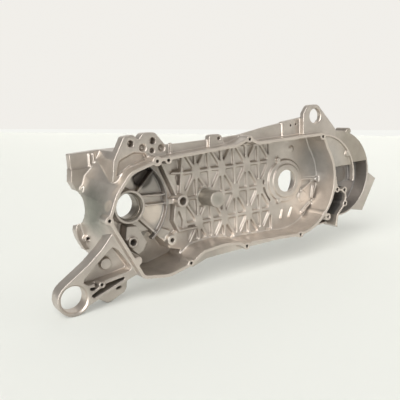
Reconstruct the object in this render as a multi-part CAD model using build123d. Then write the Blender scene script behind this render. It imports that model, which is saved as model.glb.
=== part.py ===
"""Left crankcase half of a belt-driven scooter engine, one raw aluminium casting.

Millimetres. The crankshaft axis runs along Y through the origin, the belt chamber opens
toward -Y and its gasket rim lies in the plane Y = 0. +X runs from the crankshaft to the
clutch and the rear wheel, +Z is up.
"""

import os
from math import atan2, cos, degrees, hypot, radians, sin

from build123d import *

os.makedirs("parts", exist_ok=True)

# Planes along Y, from the gasket rim back to the joint with the other half
RIM_Y = 0
ARM_Y = 12  # face of the front arm
EARS_Y = 18  # face of the two ears above the crank end
EARS_THICK = 16
FLANGE_Y = 23  # face of the outer flange
FLANGE_THICK = 6
COLLAR_Y = 25  # front face of the crankshaft's collar
FLOOR_Y = 42  # tops of the lattice ribs
POCKET_DEPTH = 4.5  # of the triangular lattice pockets
VARIATOR_Y = 50  # deeper floor behind the variator
FLOOR_BACK_Y = 50
WALL = 6
SUMP_Y = 72  # deepest part of the chamber, under the crank room
DRUM_BACK_Y = 80
MATING_Y = 88
ORIGIN_Y = 44  # of the finished part: middle of the crankshaft's bearing seat

# Shafts, bearing seats and mounting bores: centres (x, z) and radii
CRANK = (0, 0)
CRANK_SEAT_R = 17.5
CRANK_SEAL_R = 19.5  # shallow seat for the oil seal in front of the bearing seat
CRANK_SEAL_DEEP = 7
CRANK_COLLAR_R = 23.5
CLUTCH = (286, -2)
CLUTCH_FACE_Y = 35  # inner ring of the collar
CLUTCH_STEP_Y = 38  # outer ring of the collar
CLUTCH_HOLE_R = 17.8
CLUTCH_LIP = 5  # in front of the bearing, which goes in from the gear room
CLUTCH_SEAT_R = 23.5
CLUTCH_COLLAR_R = 27
CLUTCH_STEP_R = 34
LUG = (-94.3, -106)
LUG_BORE_R = 17.5
LUG_R = 22.8
LUG_THICK = 24
ARM_SCREW = (-55.4, -94)
ARM_RECESS_Y = 30  # floor of the arm's large recess
EAR = (328.5, 99.5)
EAR_BORE_R = 11.5
EAR_Y = 10
EAR_THICK = 9

# Belt chamber and what lies behind it
CHAMBER_END = (275, 0)  # centre of the chamber's round rear end
CHAMBER_END_R = 84
RIM_WIDTH = 5
VARIATOR_R = 64  # round step in the floor about the crankshaft
CRANK_ROOM_R = 46
CYLINDER_BORE_R = 25
GEAR_ROOM_R = 46  # behind the clutch
CYLINDER_Z = 0
DECK_X = -56  # face that the cylinder stands on

# Lattice of the chamber floor: columns and rows of the rib crossings
COLUMN_PITCH = 23.3
ROW_PITCH = 38.5
LATTICE_X = 96.2
LATTICE_Z = -43.8
RIB = 4.6
POCKET_TIP = (6.5, 9)  # cut off the pocket tips along X and Z, so that the crossings are flat

# Cover screws on the gasket rim: x, z, outer radius of the boss
SCREW_HOLE_R = 2.3
SCREW_DEPTH = 18
COVER_SCREWS = [
    (34.4, 60.3, 7),
    (51.7, 59.7, 5.5),
    (189.3, 75.5, 5.5),
    (335, 66.3, 5.5),
    (341.9, -65.5, 6),
    (281.9, -84.5, 5.5),
    (175.6, -83.4, 5.5),
    (76.8, -89.5, 5.5),
    (-41.3, -8.9, 6),
]

# Screw holes in the two ears above the crank end
EARS_HOLES = [(5.4, 85.6), (38.5, 86.6)]
EARS_HOLE_R = 4.5

# What stands on the chamber floor: the post, the hollow boss that the strut runs to, the
# low boss beside the round step, and the pad with its boss
POST = (132, -6.5)
POST_R = 12
POST_Y = 7
HOLLOW_BOSS = (84.7, -4.4)
LOW_BOSS = (67.7, -60.6)
LOW_BOSS_Y = 34
PAD_BOSS = (2, -50.3)
PAD_BOSS_Y = 26
PAD_Y = 30

# Screws on the outside of the crank body, either side of the cylinder
CASE_SCREWS = [(-46.8, 26.4), (-47.6, -42.9)]

# Drum at the rear wheel
DRUM = (389, -2)
DRUM_R = 72.4
DRUM_LIP = 3
DRUM_WALL = 5
DRUM_CREASE_Z = 13.5  # the face falls back below this height

# Air duct outside the chamber: x, z and outer radius of its screw rings
DUCT_WALL = 3
DUCT_UPPER_Y = 5  # floor of the duct above the drum's crease
DUCT_LOWER_Y = 12  # and below it
DUCT_RINGS = [(364, -23.3, 5), (380.2, -26.2, 5.5), (381, -49, 5), (341.9, -65.5, 6)]


def outline(*corners):
    """Closed face in the X-Z plane from (x, z, corner radius)."""
    path = FilletPolyline(
        *[(x, z) for x, z, r in corners], radius=[r for x, z, r in corners], close=True
    )
    return make_face(path)


def slab(face, y_front, y_back):
    """Solid between two planes that face the viewer."""
    return extrude(
        Plane.XZ.offset(-y_front) * face, amount=y_back - y_front, dir=(0, 1, 0)
    )


def disc(centre, radius):
    return Pos(*centre) * Circle(radius)


def rod(centre, radius, y_front, y_back):
    return slab(disc(centre, radius), y_front, y_back)


def bar(a, b, width):
    """Straight rib from point a to point b, running half its width past both."""
    length = hypot(b[0] - a[0], b[1] - a[1]) + width
    turn = degrees(atan2(b[1] - a[1], b[0] - a[0]))
    middle = ((a[0] + b[0]) / 2, (a[1] + b[1]) / 2)
    return Pos(*middle) * Rot(0, 0, turn) * Rectangle(length, width)


def cone(centre, r_front, r_back, y_front, y_back):
    turned = Rot(90, 0, 0) * Cone(r_back, r_front, y_back - y_front)
    return Pos(centre[0], (y_front + y_back) / 2, centre[1]) * turned


def polar(centre, radius, angle):
    return (
        centre[0] + radius * cos(radians(angle)),
        centre[1] + radius * sin(radians(angle)),
    )


# Belt chamber: centreline of the gasket rim, an arc about the clutch axis at the rear
rim_line = outline(
    (-41, -9, 6),
    (-27, 23, 25),
    (-5, 49, 25),
    (38, 61.5, 20),
    (166, 68.5, 15),
    (189, 77, 8),
    (205, 68, 15),
    (336, 70.5, 9),
    (345, 46, 0),
    (330, -60, 0),
    (280, -84, 0),
    (186, -79.5, 12),
    (175, -84, 7),
    (163, -77, 12),
    (135, -73.5, 30),
    (100, -77, 15),
    (78, -91, 10),
    (40, -100, 30),
    (2, -94, 9),
)
rim_line += disc(CHAMBER_END, CHAMBER_END_R) & outline(
    (200, -90, 0), (200, 66, 0), (370, 66, 0), (370, -90, 0)
)
chamber_outside = offset(rim_line, RIM_WIDTH / 2)
chamber_inside = offset(rim_line, -RIM_WIDTH / 2)


def flange_solids():
    """Outer flange along the top, its pads and ribs, and the strip under the chamber."""
    top = outline(
        (-16, 60, 0),
        (40, 80, 0),
        (84, 79, 0),
        (157, 80.5, 20),
        (187, 82, 20),
        (230, 88.5, 30),
        (268, 93, 20),
        (330, 100, 20),
        (372, 76.5, 0),
        (389, 70, 0),
        (389, 40, 0),
        (300, 30, 0),
        (30, 30, 0),
    )
    bottom = outline(
        (60, -60, 0),
        (60, -98, 0),
        (76, -98, 5),
        (93, -103.5, 5),
        (117, -95.5, 8),
        (188, -93, 0),
        (290, -91, 0),
        (290, -60, 0),
    )
    pad = outline((128.5, 66, 0), (129.5, 86.5, 5), (150, 86.5, 8), (157, 70, 0))
    step = outline((268, 72, 0), (268, 94.5, 0), (312, 99, 0), (312, 72, 0))
    out = [
        slab(top, FLANGE_Y, FLANGE_Y + FLANGE_THICK),
        slab(bottom, FLANGE_Y, FLANGE_Y + FLANGE_THICK),
        slab(pad, FLANGE_Y - 6, FLANGE_Y + FLANGE_THICK),
        slab(step, FLANGE_Y - 3, FLANGE_Y + FLANGE_THICK),
    ]
    for x in (56.5, 67.5):
        out.append(slab(bar((x, 68), (x, 80), 3), FLANGE_Y - 3, FLANGE_Y + 1))
    return out


def ears_solids():
    """Two ears above the crank end and the webs they stand on."""
    ears = outline(
        (-25, 38, 0),
        (-21, 66, 8),
        (-4, 96, 5),
        (11, 97.5, 6),
        (17, 90, 0),
        (25, 98.5, 6),
        (43, 98, 6),
        (58, 79, 5),
        (58, 55, 0),
        (0, 40, 0),
    )
    base = ears & outline((-40, 30, 0), (-40, 77, 0), (70, 77, 0), (70, 30, 0))
    return [slab(ears, EARS_Y, EARS_Y + EARS_THICK), slab(base, EARS_Y, MATING_Y)]


def ears_cuts():
    """Scoop between the ears and the chamber wall, and the two screw holes."""
    scoop = outline((-19, 44, 0), (-13, 64, 0), (6, 74, 0), (26, 71, 0), (30, 63, 0), (4, 57, 0))
    trough = Plane(origin=(-24, EARS_Y, 47.7), z_dir=(46, 0, 18)) * Circle(12)
    cuts = [extrude(trough, amount=60) & slab(scoop, EARS_Y, EARS_Y + 12)]
    for hole in EARS_HOLES:
        cuts.append(rod(hole, EARS_HOLE_R, EARS_Y, EARS_Y + EARS_THICK))
    return cuts


# Joint face of the crank body, and the deep pocket of the chamber under the crank room
joint_face = outline(
    (DECK_X, -26, 0),
    (DECK_X, 26, 0),
    (-50, 48, 0),
    (-25, 72, 0),
    (66, 72, 0),
    (80, -50, 0),
    (70, -86, 0),
    (20, -99, 0),
    (-38, -74, 0),
    (-52, -56, 0),
)
sump = outline(
    (-10, -60, 0),
    (0, -40, 0),
    (44, -45, 0),
    (56, -58, 0),
    (66, -74, 0),
    (84, -78, 0),
    (80, -88, 0),
    (40, -97, 10),
    (4, -91, 0),
)
sump = (sump & chamber_inside) - disc(CRANK, CRANK_ROOM_R + WALL)


def crank_body_solids():
    """Casing round the crank room: its left wall runs from the rim out to the cylinder deck."""
    front = Plane.XZ.offset(-4) * outline(
        (-41, -9, 0),
        (-34, 6, 0),
        (-20, 31, 0),
        (8, 51, 0),
        (85, 58, 0),
        (85, -84, 0),
        (76, -89, 0),
        (40, -97, 0),
        (3, -93, 0),
        (-19, -51, 0),
    )
    back = Plane.XZ.offset(-MATING_Y) * joint_face
    intake = outline((-61, 75.5, 0), (-60, 52, 0), (-20, 45, 0), (-16, 77.5, 0))
    lump = outline((-61, 54, 0), (-63, 38, 0), (-57, 26, 0), (-30, 12, 0), (-15, 40, 0), (-20, 56, 0))
    out = [
        loft([front, back], ruled=True),
        slab(offset(sump, WALL), FLOOR_Y, SUMP_Y + 5),
        slab(intake, 74, MATING_Y),
        slab(lump, 70, MATING_Y),
    ]
    stud_boss = outline(
        (-45, -15, 0),
        (-59.5, -22.8, 0),
        (-62, -31.4, 0),
        (-59.5, -42.6, 0),
        (-51, -60.6, 0),
        (-40, -60, 0),
    )
    out.append(slab(stud_boss, 74, MATING_Y))
    for x in (-32.5, -26.5):
        out.append(slab(bar((x, 51), (x, 72), 2.6), 71, 75))
    for screw in CASE_SCREWS:
        out.append(rod(screw, 5, 66, MATING_Y))
    return out


def crank_body_cuts():
    """Crank room, the half bore of the cylinder and a hollow above the variator's floor."""
    bore = Plane.YZ.offset(-80) * (Pos(MATING_Y, CYLINDER_Z) * Circle(CYLINDER_BORE_R))
    hollow = offset(joint_face, -WALL) - disc(CRANK, CRANK_ROOM_R + WALL)
    hollow &= outline((0, 0, 0), (0, 90, 0), (90, 90, 0), (90, 0, 0))
    return [
        rod(CRANK, CRANK_ROOM_R, VARIATOR_Y + WALL, MATING_Y),
        extrude(bore, amount=80),
        slab(hollow, 58, MATING_Y),
    ]


def arm_solids():
    """Front arm with the lug of the engine mount."""
    arm = outline(
        (-106, -86, 0),
        (-72, -64, 8),
        (-50, -46, 8),
        (-32, -26, 0),
        (0, -60, 0),
        (8, -90, 0),
        (-4, -91, 5),
        (-76, -119, 0),
        (-95, -128, 0),
    )
    under = outline(
        (-66, -112, 0),
        (-53, -120.5, 0),
        (-42.5, -128, 0),
        (-38, -127.5, 0),
        (-15.4, -118, 0),
        (-12, -112.4, 0),
        (-10.5, -103, 0),
        (2, -98.8, 0),
        (14, -97, 0),
        (0, -85, 0),
    ) - bar((-27, -110.6), (-21, -109), 2.4)
    return [
        slab(arm, ARM_Y, ARM_Y + LUG_THICK),
        rod(LUG, LUG_R, ARM_Y, ARM_Y + LUG_THICK),
        slab(under, ARM_RECESS_Y, 48),
    ]


def arm_details():
    """Round pad and screw boss inside the arm's recesses."""
    return [
        rod((-42.5, -70.5), 8, 22, ARM_RECESS_Y + 1),
        rod(ARM_SCREW, 4.2, ARM_Y, ARM_RECESS_Y + 4),
    ]


def arm_cuts():
    upper = outline(
        (-35.5, -47, 2),
        (-28, -52.5, 3),
        (-11, -79, 3),
        (-13, -83.5, 0),
        (-50, -89, 0),
        (-60, -90.8, 0),
        (-74, -91.2, 0),
        (-79.5, -87, 0),
        (-78.5, -82.5, 0),
        (-57, -63.8, 0),
    )
    lower = outline(
        (-21, -90.4, 0),
        (-49, -94.3, 0),
        (-59, -100.3, 0),
        (-71.5, -106.3, 0),
        (-67, -110, 0),
        (-48.2, -103.4, 0),
        (-22, -93.8, 0),
    )
    middle = outline((-72.2, -95, 0), (-60.5, -96.6, 0), (-65.6, -99.8, 0), (-71.7, -99, 0))
    return [
        slab(upper, ARM_Y, ARM_RECESS_Y),
        slab(lower, ARM_Y, ARM_RECESS_Y + 4),
        slab(middle, ARM_Y, ARM_RECESS_Y - 2),
    ]


def ear_solids():
    """Ear for the rear shock absorber."""
    plate = outline(
        (302, 70, 0),
        (303.5, 105, 6),
        (313, 117.5, 9),
        (334, 117.5, 10),
        (371, 76.5, 0),
        (371, 60, 0),
    )
    foot = plate & outline((290, 50, 0), (290, 86, 0), (380, 86, 0), (380, 50, 0))
    return [slab(plate, EAR_Y, EAR_Y + EAR_THICK), slab(foot, EAR_Y, FLANGE_Y + FLANGE_THICK)]


# Lower part of the drum's face, which falls back behind a level crease
drum_low = outline((300, -110, 0), (300, DRUM_CREASE_Z, 0), (470, DRUM_CREASE_Z, 0), (470, -110, 0))


def drum_solids():
    """Rear end round the wheel hub, with the duct walls on its face."""
    tab = outline((300, -60, 0), (330, -84, 0), (362, -82, 4), (385, -94, 0), (387, -60, 0))
    return [
        slab(disc(DRUM, DRUM_R), FLANGE_Y, DRUM_BACK_Y),
        slab(tab, FLANGE_Y, 56),
        slab(disc(CLUTCH, GEAR_ROOM_R + WALL), FLOOR_BACK_Y, DRUM_BACK_Y),
        rod((413, 68), 5.5, FLANGE_Y - 2, 48),
        slab(outline((430, -5, 0), (482, -13, 0), (499, -25, 0), (464, -79, 0), (430, -72, 0)), 40, 46),
    ]


def drum_cuts():
    tab = outline(
        (330, -75, 0),
        (345, -80, 0),
        (363, -78.5, 3),
        (382, -89, 0),
        (383, -60, 0),
        (330, -40, 0),
    )
    recess = (disc(DRUM, DRUM_R - DRUM_LIP) & drum_low) + tab
    recess -= offset(rim_line, RIM_WIDTH / 2)
    gear_casing = disc(CLUTCH, GEAR_ROOM_R + WALL)
    upper_room = disc(DRUM, DRUM_R - DRUM_WALL) - Pos(0, DRUM_WALL) * drum_low
    upper_room -= offset(rim_line, RIM_WIDTH / 2 + 0.5)
    return [
        slab(recess, FLANGE_Y, FLOOR_BACK_Y),
        slab(upper_room - gear_casing, FLANGE_Y + FLANGE_THICK, DRUM_BACK_Y),
        slab(disc(DRUM, DRUM_R - DRUM_WALL) - gear_casing, FLOOR_BACK_Y + DRUM_WALL, DRUM_BACK_Y),
        rod(CLUTCH, GEAR_ROOM_R, FLOOR_BACK_Y, DRUM_BACK_Y),
    ]


def duct_solids():
    """Second, thinner rim outside the chamber: an air duct with its screw rings."""
    upper = ThreePointArc((337, 68), (384, 46), (400.3, -13.7))
    floor = make_face([upper, Line((400.3, -13.7), (350, -13.7)), Line((350, -13.7), (337, 68))])
    floor -= offset(rim_line, -RIM_WIDTH / 2)
    strips = trace(upper, DUCT_WALL)
    first, second, third, last = [(x, z) for x, z, r in DUCT_RINGS]
    for a, b in (
        ((359.5, 5), first),
        (first, second),
        (second, (383, -38)),
        ((383, -38), third),
        (third, (364, -65)),
        ((364, -65), (359.7, -82)),
    ):
        strips += bar(a, b, DUCT_WALL)
    strips += bar(last, (334, -58), RIM_WIDTH)
    out = [
        slab(strips, RIM_Y, FLANGE_Y + 1),
        slab(strips & drum_low, RIM_Y, FLOOR_BACK_Y + 1),
        slab(floor - drum_low, DUCT_UPPER_Y, FLANGE_Y + 1),
        slab(floor & drum_low, DUCT_LOWER_Y, DUCT_LOWER_Y + WALL),
    ]
    for x, z, r in DUCT_RINGS:
        out.append(rod((x, z), r, RIM_Y, FLOOR_BACK_Y + 1))
    return out


def variator_solids():
    """Ribs from the crank collar out to the round step, and the lip on that step."""
    ribs = bar(polar(CRANK, 20, 34), polar(CRANK, 65, 42), 3.5)
    ribs += bar(polar(CRANK, 20, 31), (61, 6.8), 3)
    ribs += bar(polar(CRANK, 20, 3), (36, -5.3), 3) + bar((36, -5.3), (61, -5.8), 3)
    ribs += bar(polar(CRANK, 20, -44), polar(CRANK, 66, -46), 4)
    lip = disc(CRANK, VARIATOR_R + 3) - disc(CRANK, VARIATOR_R)
    lip &= outline((0, 80, 0), (80, 80, 0), (80, -60, 0), (40, -60, 0), (0, 20, 0)) & chamber_inside
    return [slab(ribs & chamber_inside, 41, VARIATOR_Y), slab(lip, 38, VARIATOR_Y)]


def chamber_posts():
    """Bosses, the post and the pad that stand on the chamber floor."""
    pad = outline(
        (-4.4, -27, 0),
        (11.6, -29, 0),
        (24.5, -54.8, 0),
        (18.5, -66, 0),
        (10, -70, 0),
        (-1, -59, 0),
        (-8, -45, 0),
    )
    out = [
        rod(POST, POST_R, POST_Y, FLOOR_Y + 1),
        rod(HOLLOW_BOSS, 9.5, COLLAR_Y, VARIATOR_Y),
        rod(LOW_BOSS, 8, LOW_BOSS_Y, VARIATOR_Y),
        slab(pad, PAD_Y, SUMP_Y),
        rod(PAD_BOSS, 8, PAD_BOSS_Y, SUMP_Y),
        rod((-5, -69.5), 6, RIM_Y, 30),
    ]
    # strut from the top screws down to the hollow boss, the rim of the drop-shaped pocket
    # below it, and the level web from the boss to the round step
    strut = bar((57, 60), (81, 3), 3.5) + bar((95, 60), (88, 5), 3.5) + bar((76, 36), (98, 34), 3.5)
    strut += bar((79, -10), (75, -34), 3.5) + bar((75, -34), (82, -50), 3.5)
    strut += bar((82, -50), (112, -50), 3.5)
    out.append(slab(strut & chamber_inside, 37, VARIATOR_Y))
    out.append(slab(bar((68, -4.2), HOLLOW_BOSS, 8), 38, VARIATOR_Y))
    return out


def clutch_collar():
    """Stepped ring in front of the clutch bearing."""
    return [
        rod(CLUTCH, CLUTCH_COLLAR_R, CLUTCH_FACE_Y, FLOOR_BACK_Y),
        cone(CLUTCH, CLUTCH_STEP_R, CLUTCH_STEP_R + 3, CLUTCH_STEP_Y, FLOOR_BACK_Y),
    ]


def clutch_details():
    """Low ribs, a round pad and a boss on the floor behind the clutch."""
    out = [
        rod((322.6, -33), 9, 39, FLOOR_BACK_Y),
        rod((354, -8), 4.5, 36, FLOOR_BACK_Y),
    ]
    for a, b in (
        ((322, -4), (350, -6.5)),
        ((322, -21), (350, -7)),
        ((347, -19), (343, -38)),
        ((339, -46), (320, -60)),
        ((299, -49), (293, -62)),
        ((279, -50), (275, -62)),
    ):
        out.append(slab(bar(a, b, 3.5), 38, FLOOR_BACK_Y))
    return out


def chamber_cuts():
    """Holes in the posts, and the pockets beside the strut and above the crankshaft."""
    beside = outline((83, 31, 0), (90, 31, 0), (86.5, 10, 0))
    above = outline((77, 54, 0), (91, 54, 0), (92, 38.5, 0), (79, 38.5, 0))
    drop = outline((86, -20, 0), (91.5, -36, 0), (90, -47, 2), (83.5, -47.5, 0), (78, -35, 0))
    corner = outline((20, 36, 0), (45, 50, 0), (48, 44, 0), (28, 23.5, 0), (22, 26, 0))
    return [
        rod(HOLLOW_BOSS, 5.5, COLLAR_Y, 46),
        rod(LOW_BOSS, 3.2, LOW_BOSS_Y, LOW_BOSS_Y + 12),
        rod(PAD_BOSS, 4.6, PAD_BOSS_Y, PAD_BOSS_Y + 34),
        slab(beside, FLOOR_Y, FLOOR_Y + POCKET_DEPTH),
        slab(above & chamber_inside, FLOOR_Y, FLOOR_Y + POCKET_DEPTH),
        slab(drop, FLOOR_Y, FLOOR_Y + POCKET_DEPTH),
        slab(corner & chamber_inside, VARIATOR_Y, VARIATOR_Y + 3),
    ]


def lattice():
    """Triangular pockets between the rib crossings: each cell is split by one diagonal."""
    edge = RIB / 2
    shrink = 1 - edge * hypot(COLUMN_PITCH, ROW_PITCH) / (COLUMN_PITCH * ROW_PITCH)
    x_end = COLUMN_PITCH - POCKET_TIP[0]
    z_end = ROW_PITCH - POCKET_TIP[1]
    low_left = Polygon(
        (edge, edge),
        (x_end, edge),
        (x_end, ROW_PITCH * (shrink - x_end / COLUMN_PITCH)),
        (COLUMN_PITCH * (shrink - z_end / ROW_PITCH), z_end),
        (edge, z_end),
        align=None,
    )
    low_right = Pos(COLUMN_PITCH, 0) * mirror(low_left, Plane.YZ)
    high_left = Pos(0, ROW_PITCH) * mirror(low_left, Plane.XZ)
    high_right = Pos(COLUMN_PITCH, ROW_PITCH) * Rot(0, 0, 180) * low_left
    field = offset(chamber_inside, -3) & outline(
        (93, -90, 0), (93, 80, 0), (262, 80, 0), (262, -90, 0)
    )
    field -= disc(CLUTCH, CLUTCH_STEP_R + 6)
    field -= disc(POST, POST_R + 3) + disc(HOLLOW_BOSS, 14)
    pockets = []
    for row in range(-1, 3):
        for column in range(0, 8):
            x = LATTICE_X + column * COLUMN_PITCH
            z = LATTICE_Z + row * ROW_PITCH
            pair = (low_right, high_left) if (row + column) % 2 else (low_left, high_right)
            pockets += [Pos(x, z) * face for face in pair]
    return (Sketch() + pockets) & field


# Outer forms first, then the chamber hollow, then what stands inside it
body = slab(chamber_outside, RIM_Y, FLOOR_BACK_Y)
body += flange_solids() + ears_solids() + crank_body_solids()
body += arm_solids() + ear_solids() + drum_solids()
body -= ears_cuts() + arm_cuts() + drum_cuts()
body -= slab(chamber_inside, RIM_Y, FLOOR_Y)
variator = disc(CRANK, VARIATOR_R)
channel = outline(
    (40, 75, 0),
    (57, 61, 0),
    (80, 4, 0),
    (76, -34, 0),
    (81, -50, 0),
    (70, -56, 0),
    (40, -56, 0),
)
body -= slab((variator + channel) & chamber_inside, FLOOR_Y, VARIATOR_Y)
body -= slab(sump & chamber_inside, FLOOR_Y, SUMP_Y)
body += variator_solids() + chamber_posts() + duct_solids() + arm_details()
for x, z, r in COVER_SCREWS:
    body += rod((x, z), r, RIM_Y, FLANGE_Y)
body += rod(CRANK, CRANK_COLLAR_R, COLLAR_Y, VARIATOR_Y + WALL)
body += clutch_collar() + clutch_details()

# Bores, screw holes and pockets last
body -= crank_body_cuts()
body -= [
    rod(CRANK, CRANK_SEAT_R, COLLAR_Y, MATING_Y),
    rod(CRANK, CRANK_SEAL_R, COLLAR_Y, COLLAR_Y + CRANK_SEAL_DEEP),
    rod(CLUTCH, CLUTCH_HOLE_R, CLUTCH_FACE_Y, MATING_Y),
    rod(CLUTCH, CLUTCH_SEAT_R, CLUTCH_FACE_Y + CLUTCH_LIP, MATING_Y),
    rod(LUG, LUG_BORE_R, ARM_Y, MATING_Y),
    rod(EAR, EAR_BORE_R, EAR_Y, MATING_Y),
]
body -= chamber_cuts()
body -= [rod((x, z), SCREW_HOLE_R, RIM_Y, SCREW_DEPTH) for x, z, r in COVER_SCREWS]
body -= slab(lattice(), FLOOR_Y, FLOOR_Y + POCKET_DEPTH)

# The origin goes to the middle of the crankshaft's bearing seat
solids = body.solids().sort_by(SortBy.VOLUME)
part = Pos(0, -ORIGIN_Y, 0) * solids[-1]
part.label = "crankcase_half"
export_step(part, "parts/crankcase_half.step")
print(len(solids), [(round(s.volume), s.bounding_box()) for s in solids], part.is_valid)
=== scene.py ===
from math import radians

import bmesh
import bpy
import numpy as np
from mathutils import Matrix, Vector


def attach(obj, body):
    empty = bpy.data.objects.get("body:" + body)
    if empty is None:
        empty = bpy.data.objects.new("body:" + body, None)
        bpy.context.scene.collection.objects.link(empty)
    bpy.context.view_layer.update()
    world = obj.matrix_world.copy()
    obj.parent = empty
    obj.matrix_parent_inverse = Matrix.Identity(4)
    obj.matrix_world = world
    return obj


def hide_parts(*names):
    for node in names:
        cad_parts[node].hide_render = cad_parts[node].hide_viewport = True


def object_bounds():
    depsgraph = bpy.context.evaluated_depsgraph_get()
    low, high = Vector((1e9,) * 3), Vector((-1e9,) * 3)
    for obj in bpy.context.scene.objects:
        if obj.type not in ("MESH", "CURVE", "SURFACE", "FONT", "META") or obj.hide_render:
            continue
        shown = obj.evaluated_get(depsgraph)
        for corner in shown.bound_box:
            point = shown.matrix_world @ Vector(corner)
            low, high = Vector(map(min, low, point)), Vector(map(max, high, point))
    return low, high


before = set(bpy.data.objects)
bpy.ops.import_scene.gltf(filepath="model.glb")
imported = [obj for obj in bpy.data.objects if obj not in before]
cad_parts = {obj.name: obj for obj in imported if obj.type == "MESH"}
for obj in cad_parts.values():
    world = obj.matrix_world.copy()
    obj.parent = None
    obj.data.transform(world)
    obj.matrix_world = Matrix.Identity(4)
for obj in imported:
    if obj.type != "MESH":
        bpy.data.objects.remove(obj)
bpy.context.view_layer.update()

# Casting
# The whole half is one aluminium die casting: rounded edges and a dull blasted skin as it
# leaves the die, then the gasket rim, the joint face behind, the bores and the screw holes
# are machined. The solid of the frame is copied, gets its small details and is rounded.
MM = 0.001
FACES_Y = 44  # the gasket rim lies at -44 and the joint face at 44; depths start at the rim

# places seen from the front: x and z in mm from the crankshaft's axis
CRANK = (0, 0)
CLUTCH = (286, -2)
CHAMBER_END = (275, 0)  # middle of the belt chamber's round rear end
POST = (132, -6.5)
ARM_EYE = (-94.3, -106)
ARM_SCREW = (-55.4, -94)
SHOCK_EYE = (328.5, 99.5)
DRUM = (389, -2)

# what is drilled or milled: place, radius, front, back, and the radius at the back of a cone
DRILLED = [
    # screw dimples in the two ears
    ((23, 78.5), 5.6, 17.9, 25, 2.8),
    ((51.5, 75.5), 5.6, 17.9, 25, 2.8),
    ((37, 73.5), 4, 17.9, 25, 2),
    # holes on the flange's step and for a bracket's screw
    ((285, 87.5), 1.8, 19, 30),
    ((296, 88.5), 1.8, 19, 30),
    ((146, 80), 2.4, 16, 30),
    # screw holes either side of the cylinder
    ((-46.8, 26.4), 2, 65, 76),
    ((-47.6, -42.9), 2, 65, 76),
    # screw holes of the duct
    ((364, -23.3), 2.6, -1, 20),
    ((380.2, -26.2), 2.6, -1, 20),
    ((381, -49), 2.6, -1, 20),
    # the arm's screw hole and the groove in the crank's bore
    (ARM_SCREW, 2.1, 9, 24),
    (CRANK, 18.9, 36, 38),
    # chamfers of the two eyes
    (ARM_EYE, 20.4, 11.9, 15.9, 16.4),
    (ARM_EYE, 16.5, 33, 36.1, 19.6),
    (SHOCK_EYE, 13.1, 9.9, 12.9, 10.1),
]
# what is hollow as cast: the arm's recess beside its screw, and the flange behind the eye
PITS = [
    ((-60.5, -92.5), 4.6, 11, 24),
    ((338, 95), 8, 22, 31),
]
# bosses: three by the clutch, one on the drum, the arm's screw, and the ears' blind holes
BOSSES = [
    ((272.5, 33.5), 4, 37, 48),
    ((270.5, -33.5), 4, 37, 48),
    ((302.5, 48), 4, 40, 48),
    ((389.8, 32.7), 4.5, 1, 15),
    (ARM_SCREW, 4.9, 10, 33),
    ((5.4, 85.6), 6, 30, 33.9),
    ((38.5, 86.6), 6, 30, 33.9),
]
# floors that rise or slant: corners as x, z and front, then the back
FLOORS = [
    # trough between the ears and the chamber's wall
    ([(-20, 43, 21), (-14, 65, 21), (6, 75, 23), (27, 72, 25), (31, 62, 25), (4, 56, 23)], 34),
    # land between the round step and the low boss
    ([(53, -40, 43), (70, -48, 43), (62, -67, 43), (46, -50, 43)], 55),
    # between two ribs of the variator's room, up to the round step
    (
        [
            (22, -6, 50.2),
            (63.5, -9, 44),
            (61.5, -19, 44),
            (59, -27, 44),
            (54.5, -35, 44),
            (47.5, -43.5, 44),
            (17, -17, 50.2),
        ],
        52,
    ),
    # lower part of the duct
    (
        [
            (357, -20, 50),
            (379, -25, 50),
            (379, -50, 50),
            (368, -60, 50),
            (345, -66, 50),
            (341, -60, 50),
        ],
        56,
    ),
]


def depth(value):
    """The y in metres of a depth in mm behind the gasket rim."""
    return (value - FACES_Y) * MM


def round_bar(mesh, place, radius, front, back, back_radius=None):
    """Adds a round bar or cone along Y."""
    turned = Matrix.Rotation(radians(-90), 4, "X")
    middle = Matrix.Translation((place[0] * MM, depth((front + back) / 2), place[1] * MM))
    bmesh.ops.create_cone(
        mesh,
        cap_ends=True,
        segments=40,
        radius1=radius * MM,
        radius2=(radius if back_radius is None else back_radius) * MM,
        depth=(back - front) * MM,
        matrix=middle @ turned,
    )


def floor_block(mesh, corners, back):
    """Adds a block whose front goes through the corners."""
    front_ring = [mesh.verts.new((x * MM, depth(front), z * MM)) for x, z, front in corners]
    back_ring = [mesh.verts.new((x * MM, depth(back), z * MM)) for x, z, front in corners]
    mesh.faces.new(front_ring)
    mesh.faces.new(back_ring)
    for i in range(len(corners)):
        j = (i + 1) % len(corners)
        mesh.faces.new((front_ring[i], front_ring[j], back_ring[j], back_ring[i]))
    bmesh.ops.recalc_face_normals(mesh, faces=mesh.faces[:])


def cutter(name, bars, floors=()):
    """An object for a boolean, which is deleted after use."""
    mesh = bmesh.new()
    for corners, back in floors:
        floor_block(mesh, corners, back)
    for bar in bars:
        round_bar(mesh, *bar)
    data = bpy.data.meshes.new(name)
    mesh.to_mesh(data)
    mesh.free()
    obj = bpy.data.objects.new(name, data)
    bpy.context.scene.collection.objects.link(obj)
    return obj


drilled = cutter("drilled", DRILLED)
pits = cutter("pits", PITS)
added = cutter("added", BOSSES, FLOORS)

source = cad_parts["crankcase_half"]
casting = bpy.data.objects.new("casting", source.data.copy())
bpy.context.scene.collection.objects.link(casting)


def modify(name, kind, **settings):
    """Puts a modifier on the casting."""
    modifier = casting.modifiers.new(name, kind)
    for setting, value in settings.items():
        setattr(modifier, setting, value)


def apply_modifiers():
    """Puts the casting's modifiers into its mesh."""
    graph = bpy.context.evaluated_depsgraph_get()
    casting.data = bpy.data.meshes.new_from_object(casting.evaluated_get(graph))
    casting.modifiers.clear()


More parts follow.
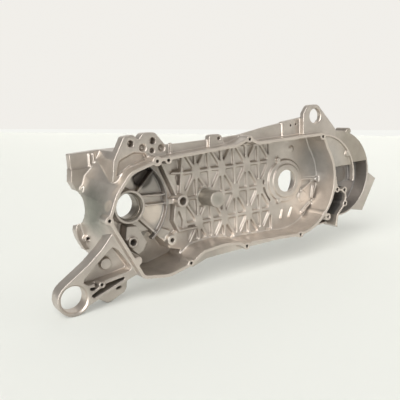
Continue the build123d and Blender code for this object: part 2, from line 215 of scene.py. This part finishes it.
modify("weld", "WELD", merge_threshold=0.02 * MM)
modify("clear", "BOOLEAN", operation="DIFFERENCE", object=pits)
modify("add", "BOOLEAN", operation="UNION", object=added)
modify("cut", "BOOLEAN", operation="DIFFERENCE", object=drilled)
modify("grid", "REMESH", mode="VOXEL", voxel_size=1 * MM)
apply_modifiers()
for used in (drilled, pits, added):
    bpy.data.objects.remove(used)


def vertex_group(name, chosen, weight=1):
    """Adds the chosen vertices to a group of the casting."""
    group = casting.vertex_groups.get(name) or casting.vertex_groups.new(name=name)
    group.add(np.nonzero(chosen)[0].tolist(), weight, "REPLACE")


points = np.empty(len(casting.data.vertices) * 3)
casting.data.vertices.foreach_get("co", points)
x, y, z = points.reshape(-1, 3).T / MM

# the skin is rounded by about 2 mm, the machined faces only a little
machined_face = np.abs(y) > FACES_Y - 1.5
vertex_group("cast_skin", ~machined_face)
vertex_group("cast_skin", machined_face, 0.3)
modify("soften", "SMOOTH", factor=0.5, iterations=7, vertex_group="cast_skin")

# the lattice pockets have sloping walls, as a die needs, away from the collar and the post
sloping = (x > 93) & (x < 262) & (y > -6) & (y < 5)
for place, radius in ((CLUTCH, 40), (POST, 14)):
    sloping &= np.hypot(x - place[0], z - place[1]) > radius
vertex_group("pocket_walls", sloping)
modify("draft", "SMOOTH", factor=0.5, iterations=12, vertex_group="pocket_walls")
modify("thin", "DECIMATE", ratio=0.175)
apply_modifiers()
rounded = casting.data
rounded.polygons.foreach_set("use_smooth", [True] * len(rounded.polygons))

skin = bpy.data.materials.new("cast_aluminium")
skin.use_nodes = True
tree = skin.node_tree
shader = tree.nodes["Principled BSDF"]
shader.inputs["Metallic"].default_value = 0.78
position = tree.nodes.new("ShaderNodeTexCoord").outputs["Object"]
axes = tree.nodes.new("ShaderNodeSeparateXYZ")
tree.links.new(position, axes.inputs["Vector"])
front_view = tree.nodes.new("ShaderNodeCombineXYZ")
tree.links.new(axes.outputs["X"], front_view.inputs["X"])
tree.links.new(axes.outputs["Z"], front_view.inputs["Z"])


def noise(scale, detail, roughness):
    """A noise in the casting's own coordinates."""
    node = tree.nodes.new("ShaderNodeTexNoise")
    node.inputs["Scale"].default_value = scale
    node.inputs["Detail"].default_value = detail
    node.inputs["Roughness"].default_value = roughness
    tree.links.new(position, node.inputs["Vector"])
    return node.outputs["Fac"]


def between(value, low, high, to_low=0, to_high=1):
    """Maps a value from one range to another, without going past its ends."""
    node = tree.nodes.new("ShaderNodeMapRange")
    node.inputs["From Min"].default_value = low
    node.inputs["From Max"].default_value = high
    node.inputs["To Min"].default_value = to_low
    node.inputs["To Max"].default_value = to_high
    tree.links.new(value, node.inputs["Value"])
    return node.outputs["Result"]


def past(value, edge, soft):
    """0 before an edge in mm, 1 past it, with a soft width."""
    return between(value, edge * MM, (edge + soft) * MM)


def short_of(value, edge, soft):
    """1 before an edge in mm, 0 past it, with a soft width."""
    return between(value, edge * MM, (edge + soft) * MM, 1, 0)


def combined(kind, *values):
    """A sum, product or greatest of several values."""
    total = values[0]
    for value in values[1:]:
        node = tree.nodes.new("ShaderNodeMath")
        node.operation = kind
        tree.links.new(total, node.inputs[0])
        tree.links.new(value, node.inputs[1])
        total = node.outputs["Value"]
    return total


def away_from(point, vector=position):
    """Distance from a point in mm."""
    node = tree.nodes.new("ShaderNodeVectorMath")
    node.operation = "DISTANCE"
    node.inputs[1].default_value = [v * MM for v in point]
    tree.links.new(vector, node.inputs[0])
    return node.outputs["Value"]


def off_axis(place):
    """Distance from the line along Y through a place."""
    return away_from((place[0], 0, place[1]), front_view.outputs["Vector"])


def tinted(amount, base, tint, kind="MULTIPLY"):
    """Brings a tint into a colour as far as amount says."""
    node = tree.nodes.new("ShaderNodeMix")
    node.data_type = "RGBA"
    node.blend_type = kind
    tree.links.new(base, node.inputs["A"])
    tree.links.new(amount, node.inputs["Factor"])
    node.inputs["B"].default_value = (*tint, 1)
    return node.outputs["Result"]


blotches = noise(22, 6, 0.6)
tones = tree.nodes.new("ShaderNodeValToRGB")
for element, at, tone in zip(
    tones.color_ramp.elements, (0.3, 0.72), ((0.440, 0.397, 0.354), (0.62, 0.563, 0.51))
):
    element.position = at
    element.color = (*tone, 1)
tree.links.new(blotches, tones.inputs["Fac"])
colour = tones.outputs["Color"]

# tints on the blasted skin, region by region, nearly all of them painted shade or painted light:
# middle of a soft ball, its radius and the width of its ragged edge in mm, and the tint
SHADE_AND_LIGHT_PATCHES = [
    ((132, -18, -6.5), 21, 4, (0.62, 0.64, 0.62)),  # painted shade on the side of the post
    ((34, 6, 36), 17, 4, (0.30, 0.29, 0.29)),  # painted shade in the corner above the crank's collar
    ((48, 8, 22), 17, 5, (0.72, 0.73, 0.74)),  # painted shade on the floor of the variator's room
    ((30, 36, -76), 45, 30, (0.97, 0.98, 0.97)),  # sump, slightly darker
    ((64, -6, -62), 12, 12, (1.34, 1.36, 1.36)),  # painted light on the land by the low boss
    ((-30, 0, 45), 30, 15, (0.79, 0.80, 0.80)),  # painted shade on the upper flank of the crank body
    ((-43, -5, -28), 16, 12, (0.80, 0.82, 0.82)),  # painted shade on the lower flank
    ((-56, 0, 4), 30, 30, (0.52, 0.57, 0.55)),  # painted shade, greenish, on the flank by the cylinder's mouth
    ((-60, 26, 50), 20, 20, (0.86, 0.84, 0.82)),  # painted shade on the block above the mouth
    ((355, -10, 20), 32, 25, (0.86, 0.91, 0.96)),  # painted shade and a bluish painted reflection on the rear wall of the belt chamber
    ((44, 6, -18), 16, 6, (1.45, 1.41, 1.36)),  # painted highlight on the rising floor between two ribs
    ((-5, -35, 52), 30, 20, (1.15, 1.14, 1.13)),  # painted light on the flank of the rim above the crank
    ((-37, -32, 9), 8, 3, (1.45, 1.40, 1.34)),  # painted highlight, a spot on the flank behind the rim
    ((378, -34, 0), 16, 3, (0.72, 0.68, 0.64)),  # painted shade in the duct
    ((300, -20, -85), 50, 40, (1.20, 1.20, 1.20)),  # painted light on the chamber's lower wall, rear
    ((190, -20, -85), 50, 40, (1.22, 1.22, 1.22)),  # painted light on the chamber's lower wall, middle
]
patch_edge_noise = noise(35, 4, 0.6)
for middle, reach, edge, tint in SHADE_AND_LIGHT_PATCHES:
    ragged = combined("ADD", away_from(middle), between(patch_edge_noise, 0, 1, 0, edge * MM))
    colour = tinted(short_of(ragged, reach, edge), colour, tint)

# painted shade on the wall of the round step about the crank
off_crank = off_axis(CRANK)
step = combined(
    "MULTIPLY",
    past(off_crank, 60.5, 1),
    short_of(off_crank, 67.5, 1.5),
    past(axes.outputs["Y"], -8, 2),
    past(axes.outputs["X"], 30, 6),
)
colour = tinted(step, colour, (0.62, 0.63, 0.65))

# painted shade, dark bluish grey, on the recess outside the chamber's round end, below the
# drum's crease
CREASE_Z = 12.8
recess = combined(
    "MULTIPLY",
    past(off_axis(CHAMBER_END), 86.2, 0.6),
    short_of(axes.outputs["Z"], CREASE_Z, 1),
    past(axes.outputs["Y"], -37.5, 2),
    short_of(off_axis(DRUM), 69, 0.6),
)
colour = tinted(recess, colour, (0.52, 0.54, 0.575))

# the deck above the crease gets darker toward the drum's far end
deck = combined(
    "MULTIPLY", past(axes.outputs["Z"], CREASE_Z, 1), past(axes.outputs["X"], 350, 70)
)
colour = tinted(deck, colour, (0.76, 0.75, 0.71))

# painted shade in the corners, from ambient occlusion
crevice = tree.nodes.new("ShaderNodeAmbientOcclusion")
crevice.samples = 8
crevice.inputs["Distance"].default_value = 6 * MM
corner_shade = between(crevice.outputs["AO"], 0.25, 0.8, 0.75, 0)
colour = tinted(corner_shade, colour, (0.36, 0.33, 0.31))

# machined and pale: the gasket rim in front, the joint face behind, and the bores of the two
# eyes and the clutch
off_middle = tree.nodes.new("ShaderNodeMath")
off_middle.operation = "ABSOLUTE"
tree.links.new(axes.outputs["Y"], off_middle.inputs[0])
machined = combined(
    "MAXIMUM",
    past(off_middle.outputs["Value"], FACES_Y - 0.6, 0.3),
    short_of(off_axis(ARM_EYE), 18, 0.5),
    short_of(off_axis(CLUTCH), 18.3, 0.5),
    short_of(off_axis(SHOCK_EYE), 12, 0.5),
)
colour = tinted(machined, colour, (0.60, 0.535, 0.475), "MIX")
# painted shade inside the crank's bore
colour = tinted(short_of(off_crank, 20, 0.5), colour, (0.64, 0.63, 0.60))
tree.links.new(colour, shader.inputs["Base Color"])
tree.links.new(between(blotches, 0.3, 0.7, 0.41, 0.29), shader.inputs["Roughness"])

# grain of the blasting
bump = tree.nodes.new("ShaderNodeBump")
bump.inputs["Strength"].default_value = 0.3
bump.inputs["Distance"].default_value = 0.3 * MM
tree.links.new(noise(700, 3, 0.5), bump.inputs["Height"])
tree.links.new(bump.outputs["Normal"], shader.inputs["Normal"])

rounded.materials.clear()
rounded.materials.append(skin)
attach(casting, "root")
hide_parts("crankcase_half")

# Floor and wall
# Pale painted boards under and behind the casting. What the camera and the metal see of
# them is partly or fully even, and the floor keeps most of the casting's shadow.
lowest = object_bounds()[0][2]


def board(name, corners, paint_colour, glow):
    """A flat board; glow is how much of its look doesn't depend on the lamps."""
    mesh = bpy.data.meshes.new(name)
    mesh.from_pydata(corners, [], [(0, 1, 2, 3)])
    obj = bpy.data.objects.new(name, mesh)
    bpy.context.scene.collection.objects.link(obj)
    paint = bpy.data.materials.new(name)
    paint.use_nodes = True
    nodes = paint.node_tree.nodes
    links = paint.node_tree.links
    base = nodes["Principled BSDF"]
    base.inputs["Roughness"].default_value = 0.8
    base.inputs["Base Color"].default_value = (*paint_colour, 1)
    even = nodes.new("ShaderNodeEmission")
    even.inputs["Color"].default_value = (*paint_colour, 1)
    ray = nodes.new("ShaderNodeLightPath")
    seen = nodes.new("ShaderNodeMath")
    seen.operation = "MAXIMUM"
    links.new(ray.outputs["Is Camera Ray"], seen.inputs[0])
    links.new(ray.outputs["Is Glossy Ray"], seen.inputs[1])
    share = nodes.new("ShaderNodeMath")
    share.operation = "MULTIPLY"
    share.inputs[1].default_value = glow
    links.new(seen.outputs["Value"], share.inputs[0])
    both = nodes.new("ShaderNodeMixShader")
    links.new(share.outputs["Value"], both.inputs["Fac"])
    links.new(base.outputs["BSDF"], both.inputs[1])
    links.new(even.outputs["Emission"], both.inputs[2])
    links.new(both.outputs["Shader"], nodes["Material Output"].inputs["Surface"])
    mesh.materials.append(paint)


def upright(start, end, height):
    """Corners of a board that stands on the floor."""
    return [(*start, lowest), (*end, lowest), (*end, lowest + height), (*start, lowest + height)]


# the wall meets the floor along a line far behind and to the right, in metres
FAR = (-0.2, 10.95)
NEAR = (3.5, -4.77)
LEFT_END = -6
board(
    "floor",
    [(x, y, lowest) for x, y in ((LEFT_END, NEAR[1]), (LEFT_END, FAR[1]), FAR, NEAR)],
    (0.81, 0.825, 0.79),
    0.3,
)
board("wall", upright(FAR, NEAR, 6), (0.88, 0.86, 0.82), 1)
skirting = [(x - 0.01, y) for x, y in (FAR, NEAR)]
board("skirting", upright(*skirting, 0.03), (0.92, 0.92, 0.88), 1)

# Light
# A large window far to the left, daylight from a wide patch of sky behind the camera, and
# a pale room around.
window = bpy.data.lights.new("window", "AREA")
window.size = 5.5
window.energy = 500
window.color = (1, 0.985, 0.96)
skylight = bpy.data.lights.new("skylight", "SUN")
skylight.energy = 2.6
skylight.angle = radians(50)
skylight.color = (1, 0.99, 0.97)
for light, stand, aim in (
    (window, (-8.0, -2.6, 0.9), (8.15, 2.6, -0.9)),
    (skylight, (0, 0, 0), (0.56, 0.54, -0.63)),
):
    lamp = bpy.data.objects.new(light.name, light)
    lamp.location = stand
    lamp.rotation_euler = Vector(aim).to_track_quat("-Z", "Y").to_euler()
    bpy.context.scene.collection.objects.link(lamp)
world = bpy.data.worlds.new("room")
bpy.context.scene.world = world
world.use_nodes = True
room = world.node_tree.nodes["Background"]
room.inputs["Color"].default_value = (0.9, 0.89, 0.87, 1)
room.inputs["Strength"].default_value = 0.27

# Camera
# Stands where the photograph was taken from: to the left of the casting, in front of its
# open side and slightly above it.
camera = bpy.data.cameras.new("camera")
camera.sensor_width = 36
camera.lens = 54
eye = bpy.data.objects.new("camera", camera)
right = Vector((0.84271, -0.53513, -0.05897))
up = Vector((0.14495, 0.12003, 0.98213))
back = Vector((-0.51849, -0.83620, 0.17871))
stand = Matrix((right, up, back)).transposed().to_4x4()
stand.translation = (-0.3404, -0.7494, 0.1494)
eye.matrix_world = stand
bpy.context.scene.collection.objects.link(eye)
bpy.context.scene.camera = eye
bpy.context.scene.view_settings.view_transform = "Standard"
